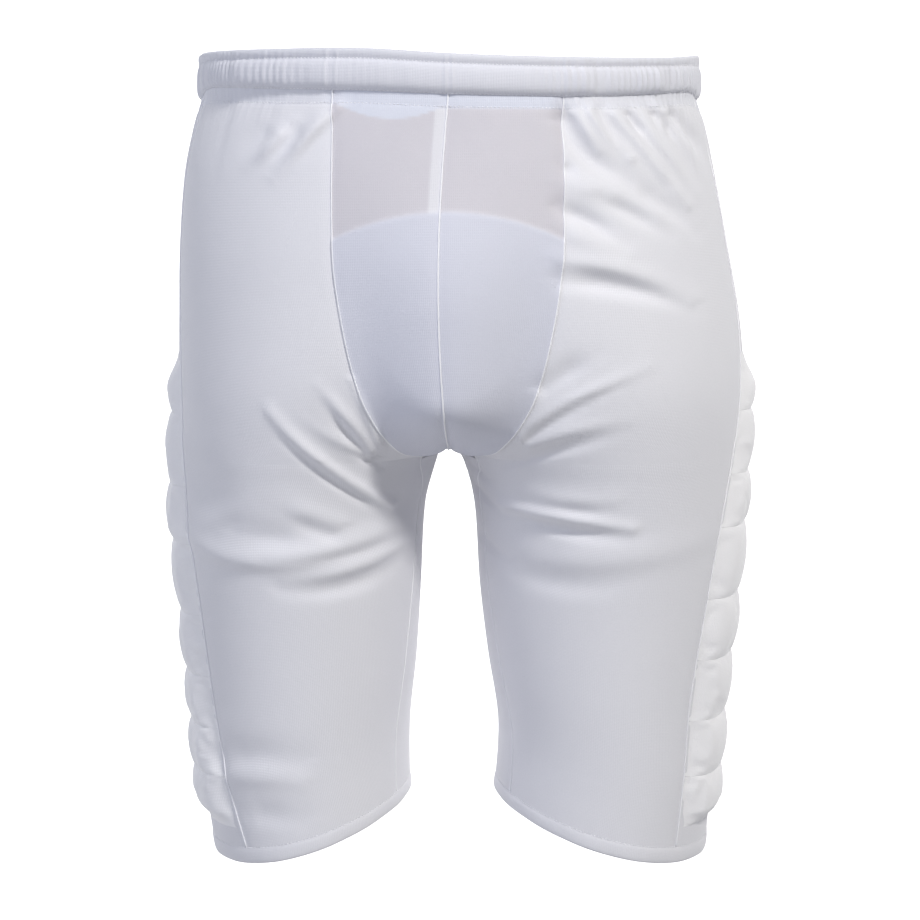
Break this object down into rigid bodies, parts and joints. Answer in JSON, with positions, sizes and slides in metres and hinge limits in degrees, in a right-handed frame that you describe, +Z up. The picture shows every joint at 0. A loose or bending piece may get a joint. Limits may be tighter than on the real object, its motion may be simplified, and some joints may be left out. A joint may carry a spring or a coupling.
{
  "type": "padded protective shorts",
  "caption": "Knitted sports shorts with an elastic waist, a shaped front pouch with an inner layer, and padded ribs down the outside of both thighs",
  "frame": {"origin": "the middle of the waist, half way up the waistband, where a waist holds the shorts", "axes": "+Z up, the front faces -Y, +X to the right of a viewer in front; the right leg is the one at +X"},
  "size_m": [0.3666, 0.2666, 0.488],
  "materials": {
    "knit": "fine white ribbed sports knit, slightly bluish, matt with a soft sheen",
    "elastic": "the same white knit folded over elastic and gathered, with stitch lines",
    "padding": "white stretch cloth over foam, quilted in ribs",
    "lining": "second layer of white knit inside the pouch",
    "hem": "folded white knit with two rows of stitches"
  },
  "bodies": {
    "root": {"waistband": "elastic", "inner_pouch": "lining", "pouch_left": "knit", "front_left": "knit", "side_left": "knit", "back_left": "knit", "hem_left": "hem", "pad_left_1": "padding", "pad_left_2": "padding", "pad_left_3": "padding", "pad_left_4": "padding", "pad_left_5": "padding", "pad_left_6": "padding", "pad_left_7": "padding", "pad_left_8": "padding", "pouch_right": "knit", "front_right": "knit", "side_right": "knit", "back_right": "knit", "hem_right": "hem", "pad_right_1": "padding", "pad_right_2": "padding", "pad_right_3": "padding", "pad_right_4": "padding", "pad_right_5": "padding", "pad_right_6": "padding", "pad_right_7": "padding", "pad_right_8": "padding"}
  },
  "joints": []
}
